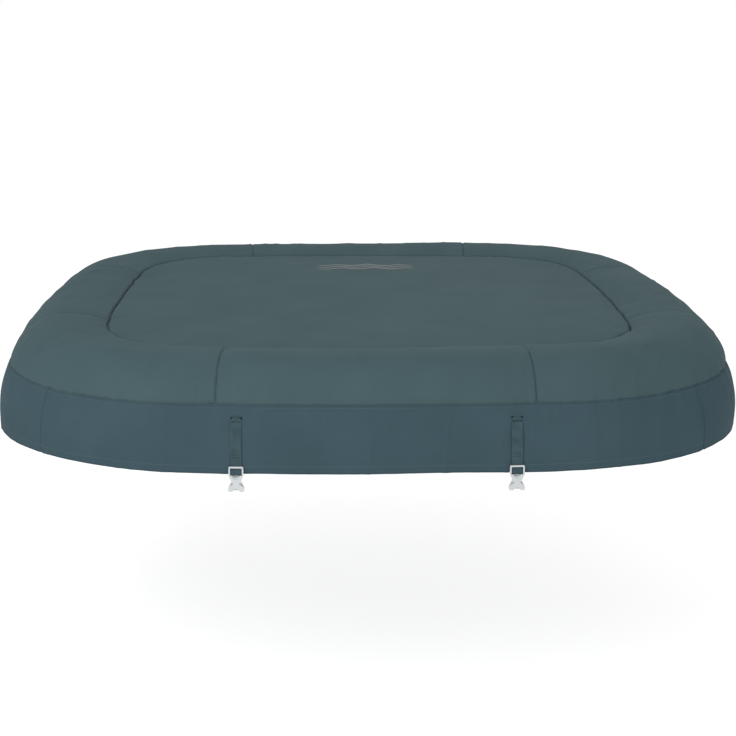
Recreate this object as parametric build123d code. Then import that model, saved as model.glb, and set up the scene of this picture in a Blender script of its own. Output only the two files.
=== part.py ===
from build123d import *
import os
from math import asin, atan2, cos, degrees, hypot, radians, sin, sqrt

# A fitted fabric cover for a square inflatable spa. The flat lining rests on the rim, the skirt hangs
# down outside it, and a buckle on a strap fastens each of eight points. Millimetres, +Z up. The origin
# is the middle of the lining's underside, which is level with the outer seam.

# plan: eight tangent arcs, four long sides and four corners
HALF_WIDTH = 990.0        # from the centre to the middle of a side, at the outer seam
SIDE_RADIUS = 5860.0
CORNER_RADIUS = 562.0

# section of the ring and the skirt, measured inwards and upwards from the outer seam
FABRIC = 1.5
CREST_INSET = 129.0
CREST_HEIGHT = 103.5
INNER_INSET = 261.0
INNER_HEIGHT = 81.0
SKIRT_DEPTH = 160.0
SKIRT_BULGE = 20.0
SKIRT_BULGE_DEPTH = 45.0
HEM_FLARE = 30.0
HEM_HEIGHT = 20.0
PANEL_HALF = 385.0        # from the middle of a side to the ring's seams

# lining, with its zip and the opening at the valve
LINING = 1.5
LINING_INSET = 3.0
ZIP_Y = 800.0
ZIP_HALF = 520.0
ZIP_SLOT_HALF = 8.0
TAPE_THICK = 1.0
TAPE_WIDTH = 16.0
CHAIN_GAP = 1.0           # half the gap between the two rows of teeth
CHAIN_OUTER = 3.2
CHAIN_HALF_HEIGHT = 1.2
ZIP_Z = LINING + TAPE_THICK / 2
SLIDER_X = 500.0
SLIDER_LENGTH = 14.0
SLIDER_HALF_WIDTH = 5.5
PULL_AXIS_DROP = 4.1      # below the middle of the tapes
VALVE_X = -560.0
VALVE_Y = 560.0
VALVE_HOLE = 20.0

# inflatable lid
PAD_FILM = 0.5
PAD_INSET = 30.0
PAD_BOTTOM = 7.0
PAD_TOP = 70.0
PAD_ROUND = 30.0
BEAM_HALF_LENGTH = 800.0
BEAM_SPACING = 200.0
BEAM_COUNT = 7

# straps
STRAP_OFFSET = 334.0      # from the middle of a side
WEB_WIDTH = 27.0
WEB = 1.5
TAB_TOP = -24.0
TAB_BOTTOM = -38.8
TOP_HINGE_Z = -40.0
TOP_HINGE_Y = -20.2
STRAP_BEND_Z = -78.0
STRAP_BEND_Y = -32.6
FOLD_Z = -110.0           # where the webbing's end is sewn back on itself
LOW_HINGE_Z = -137.5
LOW_FRONT_Y = -37.0      # middle of the front layer of webbing at the lower hinge line
LOW_HINGE_Y = LOW_FRONT_Y + WEB / 2

# buckle
BUCKLE_TOP = -141.0
BUCKLE_HEIGHT = 62.0
FRAME_HEIGHT = 22.5
FRAME_HALF = 17.6
LOBE_HALF = 19.2
WAIST_HALF = 11.0
WINDOW_HALF = 14.0
WEB_BAR_Z = -158.5
WEB_BAR_RADIUS = 1.75

SIDES = ("front", "right", "back", "left")
CORNERS = ("front_right", "back_right", "back_left", "front_left")

SIDE_CENTRE = SIDE_RADIUS - HALF_WIDTH
REACH = SIDE_RADIUS - CORNER_RADIUS
CORNER_CENTRE = (sqrt(2 * REACH**2 - SIDE_CENTRE**2) - SIDE_CENTRE) / 2
JOIN_ANGLE = degrees(atan2(CORNER_CENTRE, CORNER_CENTRE + SIDE_CENTRE))
PANEL_ANGLE = degrees(asin(PANEL_HALF / SIDE_RADIUS))

os.makedirs("parts", exist_ok=True)


def save(node, solids):
    export_step(Compound(children=solids), f"parts/{node}.step")


def circle_through(a, b, c):
    """Centre and radius of the circle through three points."""
    turn = 2 * (a[0] * (b[1] - c[1]) + b[0] * (c[1] - a[1]) + c[0] * (a[1] - b[1]))
    squares = [p[0] ** 2 + p[1] ** 2 for p in (a, b, c)]
    x = (squares[0] * (b[1] - c[1]) + squares[1] * (c[1] - a[1]) + squares[2] * (a[1] - b[1])) / turn
    y = (squares[0] * (c[0] - b[0]) + squares[1] * (a[0] - c[0]) + squares[2] * (b[0] - a[0])) / turn
    return x, y, hypot(a[0] - x, a[1] - y)


SHOULDER_RISE = (CREST_INSET**2 + CREST_HEIGHT**2) / (2 * CREST_HEIGHT)
SHOULDER = (CREST_INSET, CREST_HEIGHT - SHOULDER_RISE, SHOULDER_RISE)
SLOPE_RUN = INNER_INSET - CREST_INSET
SLOPE_DROP = CREST_HEIGHT - INNER_HEIGHT
SLOPE_RADIUS = (SLOPE_RUN**2 + SLOPE_DROP**2) / (2 * SLOPE_DROP)
SLOPE = (CREST_INSET, CREST_HEIGHT - SLOPE_RADIUS, SLOPE_RADIUS)
SKIRT = circle_through((0, 0), (-SKIRT_BULGE, -SKIRT_BULGE_DEPTH), (-HEM_FLARE, -SKIRT_DEPTH))


def skirt_inset(z, inside):
    """How far in the skirt's surface is at a height, for a layer a distance inside the outer face."""
    return SKIRT[0] - sqrt((SKIRT[2] - inside) ** 2 - (z - SKIRT[1]) ** 2)


def band(radius, top, bottom, outside, inside):
    """Section of a layer of the skirt, between two concentric curves, about an arc of this radius."""
    middle = (top + bottom) / 2
    rows = {}
    for layer in (outside, inside):
        rows[layer] = [(radius - skirt_inset(z, layer), z) for z in (top, middle, bottom)]
    return section(rows[outside], rows[inside])


def section(outer, inner):
    """A face in the XZ plane between two three-point arcs."""
    o = [(x, 0, z) for x, z in outer]
    i = [(x, 0, z) for x, z in inner]
    edges = [ThreePointArc(*o), Line(o[2], i[2]), ThreePointArc(*reversed(i)), Line(i[0], o[0])]
    return make_face(Curve() + edges)


def ring_section(radius):
    """Section of the ring: a round shoulder up to the crest, then a long slope down to the inner seam."""
    layers = []
    for inside in (0, FABRIC):
        shoulder = SHOULDER[2] - inside
        slope = SLOPE[2] - inside
        low = CREST_INSET - sqrt(shoulder**2 - SHOULDER[1] ** 2)
        turn = radians(45)
        mid = (CREST_INSET - shoulder * cos(turn), SHOULDER[1] + shoulder * sin(turn))
        half = CREST_INSET + SLOPE_RUN / 2
        slope_mid = (half, SLOPE[1] + sqrt(slope**2 - (SLOPE_RUN / 2) ** 2))
        end = (INNER_INSET, SLOPE[1] + sqrt(slope**2 - SLOPE_RUN**2))
        points = [(low, 0), mid, (CREST_INSET, CREST_HEIGHT - inside), slope_mid, end]
        layers.append([(radius - d, 0, z) for d, z in points])
    o, i = layers
    edges = [
        ThreePointArc(o[0], o[1], o[2]),
        ThreePointArc(o[2], o[3], o[4]),
        Line(o[4], i[4]),
        ThreePointArc(i[4], i[3], i[2]),
        ThreePointArc(i[2], i[1], i[0]),
        Line(i[0], o[0]),
    ]
    return make_face(Curve() + edges)


def turned(face, centre, start, stop):
    """Revolve a section about a vertical axis from one compass angle to another."""
    solid = revolve(face, Axis.Z, revolution_arc=stop - start)
    return Pos(centre[0], centre[1], 0) * (Rot(0, 0, start) * solid)


def side_piece(make_section, start=-JOIN_ANGLE, stop=JOIN_ANGLE):
    """A piece along the front side; the angles are from the middle of the side."""
    return turned(make_section(SIDE_RADIUS), (0, SIDE_CENTRE), -90 + start, -90 + stop)


def corner_piece(make_section, quarter, start, stop):
    """A piece round the front corner on the right (quarter 1) or the left (quarter 0)."""
    x = CORNER_CENTRE if quarter else -CORNER_CENTRE
    return turned(make_section(CORNER_RADIUS), (x, -CORNER_CENTRE), start, stop)


def skirt_side(make_section):
    """Three tangent stretches of a layer: half a corner, the front side and half a corner."""
    left = corner_piece(make_section, 0, -135, -90 - JOIN_ANGLE)
    right = corner_piece(make_section, 1, -90 + JOIN_ANGLE, -45)
    return left + side_piece(make_section) + right


def ring_corner():
    """The end of the front side, the front corner on the right and the start of the right side."""
    front_end = side_piece(ring_section, PANEL_ANGLE, JOIN_ANGLE)
    right_end = Rot(0, 0, 90) * side_piece(ring_section, -JOIN_ANGLE, -PANEL_ANGLE)
    return front_end + corner_piece(ring_section, 1, -90 + JOIN_ANGLE, -JOIN_ANGLE) + right_end


def outline(inset):
    """The rounded-square plan, this far inside the outer seam."""
    edges = []
    for quarter in range(4):
        turn = 90 * quarter
        arcs = (
            ((0, SIDE_CENTRE), SIDE_RADIUS - inset, -90 - JOIN_ANGLE, -90 + JOIN_ANGLE),
            ((CORNER_CENTRE, -CORNER_CENTRE), CORNER_RADIUS - inset, -90 + JOIN_ANGLE, -JOIN_ANGLE),
        )
        for centre, radius, start, stop in arcs:
            points = []
            for angle in (start, (start + stop) / 2, stop):
                a = radians(angle)
                point = Vector(centre[0] + radius * cos(a), centre[1] + radius * sin(a))
                points.append(point.rotate(Axis.Z, turn))
            edges.append(ThreePointArc(*points))
    return make_face(Curve() + edges)


def sheet(inset, bottom, top):
    return Pos(0, 0, bottom) * extrude(outline(inset), amount=top - bottom)


def block(x0, x1, y0, y1, z0, z1):
    return Pos((x0 + x1) / 2, (y0 + y1) / 2, (z0 + z1) / 2) * Box(x1 - x0, y1 - y0, z1 - z0)


# top fabric -----------------------------------------------------------------------------------------
save("centre_panel", [sheet(INNER_INSET, INNER_HEIGHT - FABRIC, INNER_HEIGHT)])

for index, side in enumerate(SIDES):
    panel = side_piece(ring_section, -PANEL_ANGLE, PANEL_ANGLE)
    save(f"ring_panel_{side}", [Rot(0, 0, 90 * index) * panel])

for index, corner in enumerate(CORNERS):
    save(f"ring_corner_{corner}", [Rot(0, 0, 90 * index) * ring_corner()])

# skirt and its turned hem ---------------------------------------------------------------------------


def skirt_section(radius):
    return band(radius, 0, -SKIRT_DEPTH, 0, FABRIC)


def hem_section(radius):
    return band(radius, -SKIRT_DEPTH + HEM_HEIGHT, -SKIRT_DEPTH, FABRIC, 2 * FABRIC)


for index, side in enumerate(SIDES):
    save(f"skirt_panel_{side}", [Rot(0, 0, 90 * index) * skirt_side(skirt_section)])

save("hem_turned_edge", [Rot(0, 0, 90 * index) * skirt_side(hem_section) for index in range(4)])

# lining and its zip ---------------------------------------------------------------------------------
lining = sheet(LINING_INSET, 0, LINING)
lining -= block(-ZIP_HALF, ZIP_HALF, ZIP_Y - ZIP_SLOT_HALF, ZIP_Y + ZIP_SLOT_HALF, -1, LINING + 1)
lining -= Pos(VALVE_X, VALVE_Y, 0) * Cylinder(VALVE_HOLE, 10)
save("lining_sheet", [lining])

tapes = []
teeth = []
for way in (-1, 1):
    tape_edges = sorted((ZIP_Y + way * CHAIN_OUTER, ZIP_Y + way * (CHAIN_OUTER + TAPE_WIDTH)))
    tapes.append(block(-ZIP_HALF, ZIP_HALF, *tape_edges, LINING, LINING + TAPE_THICK))
    row = sorted((ZIP_Y + way * CHAIN_GAP, ZIP_Y + way * CHAIN_OUTER))
    teeth.append(block(-ZIP_HALF, ZIP_HALF, *row, ZIP_Z - CHAIN_HALF_HEIGHT, ZIP_Z + CHAIN_HALF_HEIGHT))
save("zip_tapes", tapes)
save("zip_teeth", teeth)


def zip_slider():
    """Two plates joined by a thin post that runs between the rows of teeth, and a bail for the pull."""
    half = SLIDER_LENGTH / 2
    upper = block(-half, half, -SLIDER_HALF_WIDTH, SLIDER_HALF_WIDTH, 1.7, 3.3)
    lower = block(-half, half, -SLIDER_HALF_WIDTH, SLIDER_HALF_WIDTH, -2.9, -1.7)
    post = block(-4, 4, -0.6, 0.6, -1.7, 1.7)
    bail = block(-4.1, 4.1, -1.2, 1.2, -6.5, -2.9) - block(-2.9, 2.9, -2, 2, -5.3, -2.9)
    return Pos(SLIDER_X, ZIP_Y, ZIP_Z) * (upper + lower + post + bail)


def zip_pull():
    """A tab with an eye, hanging on a cross bar inside the slider's bail."""
    bar = Rot(90, 0, 0) * Cylinder(0.8, 6.4)
    tab = block(-0.8, 0.8, -4.5, 4.5, -28, 0) - block(-2, 2, -1.7, 1.7, -5.5, 2)
    tab -= block(-2, 2, -6, -3.2, -4, 2)
    tab -= block(-2, 2, 3.2, 6, -4, 2)
    return Pos(SLIDER_X, ZIP_Y, ZIP_Z - PULL_AXIS_DROP) * (tab + bar)


save("zip_slider", [zip_slider()])
save("zip_pull", [zip_pull()])
stops = []
for way in (-1, 1):
    ends = sorted((way * (ZIP_HALF - 4), way * ZIP_HALF))
    stops.append(block(*ends, ZIP_Y - 4.5, ZIP_Y + 4.5, ZIP_Z - 2.7, ZIP_Z - CHAIN_HALF_HEIGHT))
save("zip_end_stops", stops)

# inflatable lid inside the cover --------------------------------------------------------------------


def dome(inset, bottom, top, round_radius):
    solid = sheet(inset, bottom, top)
    return fillet(solid.faces().sort_by(Axis.Z)[-1].edges(), round_radius)


lid_outer = dome(PAD_INSET, PAD_BOTTOM + PAD_FILM, PAD_TOP, PAD_ROUND)
lid_inner = dome(PAD_INSET + PAD_FILM, PAD_BOTTOM, PAD_TOP - PAD_FILM, PAD_ROUND - PAD_FILM)
save("lid_top_film", [lid_outer - lid_inner])

lid_bottom = sheet(PAD_INSET, PAD_BOTTOM, PAD_BOTTOM + PAD_FILM)
lid_bottom -= Pos(VALVE_X, VALVE_Y, PAD_BOTTOM) * Cylinder(12.5, 4)
save("lid_bottom_film", [lid_bottom])

beams = []
for index in range(BEAM_COUNT):
    y = (index - (BEAM_COUNT - 1) / 2) * BEAM_SPACING
    ends = (-BEAM_HALF_LENGTH, BEAM_HALF_LENGTH)
    beams.append(block(*ends, y, y + PAD_FILM, PAD_BOTTOM + PAD_FILM, PAD_TOP - PAD_FILM))
save("lid_tension_beams", beams)

# valve: a flange under the lid's bottom film, a tube into the lid and a plug pushed in from below
valve_place = Pos(VALVE_X, VALVE_Y, PAD_BOTTOM)
valve = Pos(0, 0, -1.5) * Cylinder(30, 3) + Pos(0, 0, 8.5) * Cylinder(12, 17)
valve -= Pos(0, 0, 7) * Cylinder(9.5, 30)
save("lid_valve_body", [valve_place * valve])

plug = Pos(0, 0, -4.3) * Cylinder(14, 2) + Pos(0, 0, 3) * Cylinder(9.1, 13)
plug -= Pos(0, 0, 5) * Cylinder(6.5, 12)
save("lid_valve_plug", [valve_place * plug])

# straps ---------------------------------------------------------------------------------------------
STRAP_ANGLE = degrees(atan2(STRAP_OFFSET, sqrt(SIDE_RADIUS**2 - STRAP_OFFSET**2)))
WEB_HALF_ANGLE = degrees(WEB_WIDTH / 2 / SIDE_RADIUS)
PATCH_HALF_ANGLE = degrees(25 / SIDE_RADIUS)


def tab_section(radius):
    return band(radius, TAB_TOP, TAB_BOTTOM, -WEB, 0)


def patch_section(radius):
    return band(radius, TAB_TOP + 8, TAB_BOTTOM - 8, FABRIC, FABRIC + 1)


def along_x(points, width):
    """A flat piece that has this outline in the YZ plane and this width along X."""
    face = make_face(Polyline(*[(0, y, z) for y, z in points], close=True))
    return Pos(-width / 2, 0, 0) * extrude(face, amount=width, dir=(1, 0, 0))


def strap():
    """Webbing from the upper hinge line to the lower one, doubled where its end is sewn back."""
    half = WEB / 2
    slope = (LOW_FRONT_Y - STRAP_BEND_Y) / (LOW_HINGE_Z - STRAP_BEND_Z)
    fold_y = STRAP_BEND_Y + slope * (FOLD_Z - STRAP_BEND_Z)
    front = [(TOP_HINGE_Y, TOP_HINGE_Z), (STRAP_BEND_Y, STRAP_BEND_Z), (LOW_FRONT_Y, LOW_HINGE_Z)]
    points = [(y - half, z) for y, z in front]
    points += [(LOW_FRONT_Y + 3 * half, LOW_HINGE_Z), (fold_y + 3 * half, FOLD_Z), (fold_y + half, FOLD_Z)]
    points += [(STRAP_BEND_Y + half, STRAP_BEND_Z), (TOP_HINGE_Y + half, TOP_HINGE_Z)]
    web = along_x(points, WEB_WIDTH)
    top = Pos(0, TOP_HINGE_Y, TOP_HINGE_Z) * (Rot(0, 90, 0) * Cylinder(half, WEB_WIDTH))
    low = Pos(0, LOW_HINGE_Y, LOW_HINGE_Z) * (Rot(0, 90, 0) * Cylinder(WEB, WEB_WIDTH))
    return web + top + low


def web_loop():
    """The sewn loop of webbing that passes behind the buckle's top bar and round its web bar."""
    outer_radius = WEB_BAR_RADIUS + 0.3 + WEB
    inner_radius = WEB_BAR_RADIUS + 0.3
    top = LOW_HINGE_Z - WEB - 0.4
    split = BUCKLE_TOP - 5.5
    shell = along_x([(-WEB, top), (-WEB, split), (-outer_radius, WEB_BAR_Z), (outer_radius, WEB_BAR_Z),
                     (WEB, split), (WEB, top)], WEB_WIDTH)
    shell += Pos(0, 0, WEB_BAR_Z) * (Rot(0, 90, 0) * Cylinder(outer_radius, WEB_WIDTH))
    hole = along_x([(0, split), (-inner_radius, WEB_BAR_Z), (inner_radius, WEB_BAR_Z)], WEB_WIDTH + 2)
    hole += Pos(0, 0, WEB_BAR_Z) * (Rot(0, 90, 0) * Cylinder(inner_radius, WEB_WIDTH + 2))
    return Pos(0, LOW_HINGE_Y, 0) * (shell - hole)


def plate(points, radii, front, back):
    """A flat piece with a symmetrical outline, given by the corners of its right half and their rounding."""
    mirrored = [(-x, z) for x, z in reversed(points)]
    face = make_face(Polyline(*[(x, 0, z) for x, z in points + mirrored], close=True))
    for (x, z), radius in zip(points, radii):
        for sign in (-1, 1):
            corner = face.vertices().sort_by_distance((sign * x, 0, z))[0]
            face = fillet(corner, radius)
    return Pos(0, front, 0) * extrude(face, amount=back - front, dir=(0, 1, 0))


def buckle():
    """The socket half of a side-release buckle: frame, web bar, waist and a two-lobed socket."""
    top = BUCKLE_TOP
    bottom = top - BUCKLE_HEIGHT
    outline_points = [
        (FRAME_HALF, top),
        (FRAME_HALF + 0.4, top - 21),
        (WAIST_HALF, top - 37.5),
        (LOBE_HALF, top - 53.5),
        (LOBE_HALF - 0.6, bottom),
        (8.6, bottom),
        (7.0, bottom + 4.2),
    ]
    whole = plate(outline_points, (4, 5, 7, 3, 3, 1.5, 1), -6.5, 3.5)
    # the frame is thinner than the socket
    whole -= block(-20, 20, 0.8, 4, top - FRAME_HEIGHT, top + 1)
    whole -= block(-20, 20, -7, -5.25, top - FRAME_HEIGHT, top + 1)
    # window for the webbing, with a foot that narrows to a vee
    window = block(-WINDOW_HALF, WINDOW_HALF, -10, 10, top - FRAME_HEIGHT, top - 4)
    vee = plate([(10, top - FRAME_HEIGHT + 0.1), (4, top - FRAME_HEIGHT - 5)], (0.5, 1), -10, 10)
    # room behind the top bar for the webbing
    relief = block(-WINDOW_HALF, WINDOW_HALF, -1.85, 4, top - 5, top + 1)
    whole -= window + vee + relief
    whole += Pos(0, 0, WEB_BAR_Z) * (Rot(0, 90, 0) * Cylinder(WEB_BAR_RADIUS, 2 * WINDOW_HALF + 2))
    # socket: a wide mouth and a narrower channel for the guide, with a slot in each side for the catches
    whole -= block(-15, 15, -5, 2, bottom - 1, bottom + 12)
    whole -= block(-7, 7, -5, 2, bottom, bottom + 23)
    for sign in (-1, 1):
        slot = Pos(sign * 15.5, -1.5, bottom + 13.5) * (Rot(0, sign * 45, 0) * Box(10, 7, 3.2))
        whole -= slot
    return Pos(0, LOW_HINGE_Y, 0) * whole


def on_side(solid, index, way):
    """Place a piece drawn at the origin of the front side's outer seam, to one side of its middle."""
    at_seam = Pos(0, -HALF_WIDTH, 0) * solid
    about = Pos(0, SIDE_CENTRE, 0) * Rot(0, 0, way * STRAP_ANGLE) * Pos(0, -SIDE_CENTRE, 0)
    return Rot(0, 0, 90 * index) * (about * at_seam)


strap_solid = strap()
loop_solid = web_loop()
buckle_solid = buckle()
tabs = []
patches = []
for index, side in enumerate(SIDES):
    for way, hand in ((-1, "a"), (1, "b")):
        place = f"{side}_{hand}"
        save(f"strap_{place}", [on_side(strap_solid, index, way)])
        save(f"web_loop_{place}", [on_side(loop_solid, index, way)])
        save(f"buckle_{place}", [on_side(buckle_solid, index, way)])
        middle = way * STRAP_ANGLE
        tab = side_piece(tab_section, middle - WEB_HALF_ANGLE, middle + WEB_HALF_ANGLE)
        patch = side_piece(patch_section, middle - PATCH_HALF_ANGLE, middle + PATCH_HALF_ANGLE)
        tabs.append(Rot(0, 0, 90 * index) * tab)
        patches.append(Rot(0, 0, 90 * index) * patch)
save("strap_sewn_tabs", tabs)
save("strap_backing_patches", patches)
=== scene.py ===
import bmesh
import bpy
from math import asin, atan2, cos, hypot, pi, sin, sqrt
from mathutils import Euler, Matrix, Vector
from mathutils.geometry import delaunay_2d_cdt
import numpy as np


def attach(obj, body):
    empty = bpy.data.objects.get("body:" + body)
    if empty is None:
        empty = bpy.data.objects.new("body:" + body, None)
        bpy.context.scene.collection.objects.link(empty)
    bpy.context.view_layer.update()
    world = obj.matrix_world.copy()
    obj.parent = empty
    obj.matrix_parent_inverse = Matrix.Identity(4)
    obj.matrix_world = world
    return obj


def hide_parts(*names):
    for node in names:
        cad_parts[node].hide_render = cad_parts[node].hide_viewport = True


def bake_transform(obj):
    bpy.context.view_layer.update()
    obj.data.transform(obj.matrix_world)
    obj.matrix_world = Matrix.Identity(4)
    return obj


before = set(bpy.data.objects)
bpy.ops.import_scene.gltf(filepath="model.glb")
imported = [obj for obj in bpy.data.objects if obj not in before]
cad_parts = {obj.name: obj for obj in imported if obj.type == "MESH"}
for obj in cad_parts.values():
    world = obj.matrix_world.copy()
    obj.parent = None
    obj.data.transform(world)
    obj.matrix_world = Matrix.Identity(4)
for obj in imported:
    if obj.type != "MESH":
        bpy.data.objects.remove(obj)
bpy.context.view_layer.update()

# Metres, in the row frame. The plan is eight tangent arcs: four long sides and four corners.
HALF = 0.990
SIDE_RADIUS = 5.860
CORNER_RADIUS = 0.562
CREST_INSET = 0.129
CREST_HEIGHT = 0.1035
INNER_INSET = 0.261
INNER_HEIGHT = 0.081
FABRIC = 0.0015
SKIRT_DEPTH = 0.160
SKIRT_BULGE = (0.020, 0.045)
HEM_FLARE = 0.030
HEM_HEIGHT = 0.020

SIDE_CENTRE = SIDE_RADIUS - HALF
REACH = SIDE_RADIUS - CORNER_RADIUS
CORNER_CENTRE = (sqrt(2 * REACH**2 - SIDE_CENTRE**2) - SIDE_CENTRE) / 2
JOIN = atan2(CORNER_CENTRE, CORNER_CENTRE + SIDE_CENTRE)
SIDE_LENGTH = SIDE_RADIUS * 2 * JOIN
CORNER_LENGTH = CORNER_RADIUS * (pi / 2 - 2 * JOIN)
QUARTER = SIDE_LENGTH + CORNER_LENGTH
PERIMETER = 4 * QUARTER
PANEL_LENGTH = 2 * SIDE_RADIUS * asin(0.385 / SIDE_RADIUS)
PANEL_START = (SIDE_LENGTH - PANEL_LENGTH) / 2
CORNER_PANEL_LENGTH = QUARTER - PANEL_LENGTH

STRAP_OFFSET = 0.334
STRAP_ANGLE = asin(STRAP_OFFSET / SIDE_RADIUS)
WEB = 0.0015
WEB_WIDTH = 0.027
TAB_TOP = -0.024
TAB_BOTTOM = -0.0388
TOP_HINGE = (-0.0202, -0.040)
STRAP_BEND = (-0.0326, -0.078)
STRAP_JOIN = (-0.03327, -0.087)
FOLD_Z = -0.110
LOW_FRONT = (-0.0370, -0.1375)
LOW_HINGE = (-0.03625, -0.1375)
WEB_BAR_Z = -0.1585
ZIP_Y = 0.800
ZIP_HALF = 0.520
ZIP_Z = 0.002
ZIP_GAP = 0.008
VALVE_HOLE = 0.020
VALVE = (-0.560, 0.560)
LINING_INSET = 0.010

SIDES = ("front", "right", "back", "left")
CORNERS = ("front_right", "back_right", "back_left", "front_left")

draws = np.random.default_rng(7)
LATTICE = draws.uniform(-1, 1, (24, 24, 24))


# ---- noise and meshes ----
def noise(points, size, seed=0):
    """Smooth noise from -1 to 1 on 3-D points, with features of about this size in metres."""
    p = np.asarray(points) / size + 7.31 * seed + 100
    low = np.floor(p).astype(int)
    part = p - low
    part = part * part * (3 - 2 * part)
    total = 0
    for dx in (0, 1):
        for dy in (0, 1):
            for dz in (0, 1):
                corner = LATTICE[(low[..., 0] + dx) % 24, (low[..., 1] + dy) % 24, (low[..., 2] + dz) % 24]
                weight = np.where(dx, part[..., 0], 1 - part[..., 0])
                weight = weight * np.where(dy, part[..., 1], 1 - part[..., 1])
                weight = weight * np.where(dz, part[..., 2], 1 - part[..., 2])
                total = total + corner * weight
    return total


def fall(distance, reach):
    return np.exp(-((distance / reach) ** 2))


def make_mesh(name, points, faces, smooth=True):
    mesh = bpy.data.meshes.new(name)
    faces = faces.tolist() if isinstance(faces, np.ndarray) else faces
    mesh.from_pydata(np.asarray(points).reshape(-1, 3).tolist(), [], faces)
    mesh.update()
    if smooth:
        mesh.shade_smooth()
    piece = bpy.data.objects.new(name, mesh)
    bpy.context.scene.collection.objects.link(piece)
    return piece


def grid_faces(rows, columns, closed=False, flip=False, start=0):
    """Quads of a grid, rows then columns; closed joins the last column to the first."""
    r, c = np.meshgrid(np.arange(rows - 1), np.arange(columns if closed else columns - 1), indexing="ij")
    d = (c + 1) % columns
    quads = np.stack([r * columns + c, r * columns + d, (r + 1) * columns + d, (r + 1) * columns + c], -1)
    quads = quads.reshape(-1, 4) + start
    return quads[:, ::-1] if flip else quads


def thicken(piece, thickness, offset=-1):
    modifier = piece.modifiers.new("thickness", "SOLIDIFY")
    modifier.thickness = thickness
    modifier.offset = offset
    return piece


def graded(total, fine, coarse, growth=1.25):
    """Positions from 0 to total, closest together at both ends."""
    steps = []
    step = fine
    while 2 * sum(steps) < total:
        steps.append(step)
        step = min(step * growth, coarse)
    half = np.cumsum([0] + steps)
    half = half * (total / 2 / half[-1])
    return np.concatenate([half, total - half[-2::-1]])


def finish_piece(piece, material, body="cover"):
    piece.data.materials.clear()
    piece.data.materials.append(material)
    if body:
        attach(piece, body)
    return piece


# ---- plan and sections ----
def turn(x, y, angle):
    return x * cos(angle) - y * sin(angle), x * sin(angle) + y * cos(angle)


def all_round(count):
    """Evenly spaced distances once round the outer seam."""
    return np.linspace(0, PERIMETER, count, endpoint=False)


def plan(distance, inset):
    """Point and outward direction at this distance round the outer seam from the front side's left end."""
    distance = np.asarray(distance, float) % PERIMETER
    quarter = np.floor(distance / QUARTER)
    rest = distance - quarter * QUARTER
    on_side = rest <= SIDE_LENGTH
    angle = np.where(
        on_side,
        -pi / 2 - JOIN + rest / SIDE_RADIUS,
        -pi / 2 + JOIN + (rest - SIDE_LENGTH) / CORNER_RADIUS,
    )
    centre_x = np.where(on_side, 0, CORNER_CENTRE)
    centre_y = np.where(on_side, SIDE_CENTRE, -CORNER_CENTRE)
    radius = np.where(on_side, SIDE_RADIUS, CORNER_RADIUS) - inset
    x = centre_x + radius * np.cos(angle)
    y = centre_y + radius * np.sin(angle)
    q = quarter * pi / 2
    out = (np.cos(angle + q), np.sin(angle + q))
    return x * np.cos(q) - y * np.sin(q), x * np.sin(q) + y * np.cos(q), out


def arc_radius(run, rise):
    """Radius of the arc that climbs from (0, 0) to a level crest at (run, rise)."""
    return (run**2 + rise**2) / (2 * rise)


SHOULDER = arc_radius(CREST_INSET, CREST_HEIGHT)
SLOPE = arc_radius(INNER_INSET - CREST_INSET, CREST_HEIGHT - INNER_HEIGHT)
SLOPE_TURN = asin((INNER_INSET - CREST_INSET) / SLOPE)
SEAM_ANGLE = atan2(SHOULDER - CREST_HEIGHT, CREST_INSET)
SHOULDER_LENGTH = SHOULDER * (pi / 2 - SEAM_ANGLE)
RING_LENGTH = SHOULDER_LENGTH + SLOPE * SLOPE_TURN


def ring_profile(s):
    """Inset, height and outward normal at a distance up the ring from the outer seam."""
    s = np.asarray(s, float)
    a = SEAM_ANGLE + np.minimum(s, SHOULDER_LENGTH) / SHOULDER
    b = np.maximum(s - SHOULDER_LENGTH, 0) / SLOPE
    on_slope = s > SHOULDER_LENGTH
    inset = np.where(on_slope, CREST_INSET + SLOPE * np.sin(b), CREST_INSET - SHOULDER * np.cos(a))
    height = np.where(
        on_slope,
        CREST_HEIGHT - SLOPE + SLOPE * np.cos(b),
        CREST_HEIGHT - SHOULDER + SHOULDER * np.sin(a),
    )
    out = np.where(on_slope, -np.sin(b), np.cos(a))
    up = np.where(on_slope, np.cos(b), np.sin(a))
    return inset, height, out, up


def circle_through(a, b, c):
    k = 2 * (a[0] * (b[1] - c[1]) + b[0] * (c[1] - a[1]) + c[0] * (a[1] - b[1]))
    squares = [p[0] ** 2 + p[1] ** 2 for p in (a, b, c)]
    x = (squares[0] * (b[1] - c[1]) + squares[1] * (c[1] - a[1]) + squares[2] * (a[1] - b[1])) / k
    y = (squares[0] * (c[0] - b[0]) + squares[1] * (a[0] - c[0]) + squares[2] * (b[0] - a[0])) / k
    return x, y, hypot(a[0] - x, a[1] - y)


SKIRT = circle_through((0, 0), (-SKIRT_BULGE[0], -SKIRT_BULGE[1]), (-HEM_FLARE, -SKIRT_DEPTH))


def skirt_profile(z, outside=0.0):
    """Inset and outward normal of the skirt at a height, this far outside its outer face."""
    rise = np.asarray(z, float) - SKIRT[1]
    run = np.sqrt(SKIRT[2] ** 2 - rise**2)
    out = run / SKIRT[2]
    up = rise / SKIRT[2]
    return SKIRT[0] - run - outside * out, z + outside * up, out, up


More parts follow.
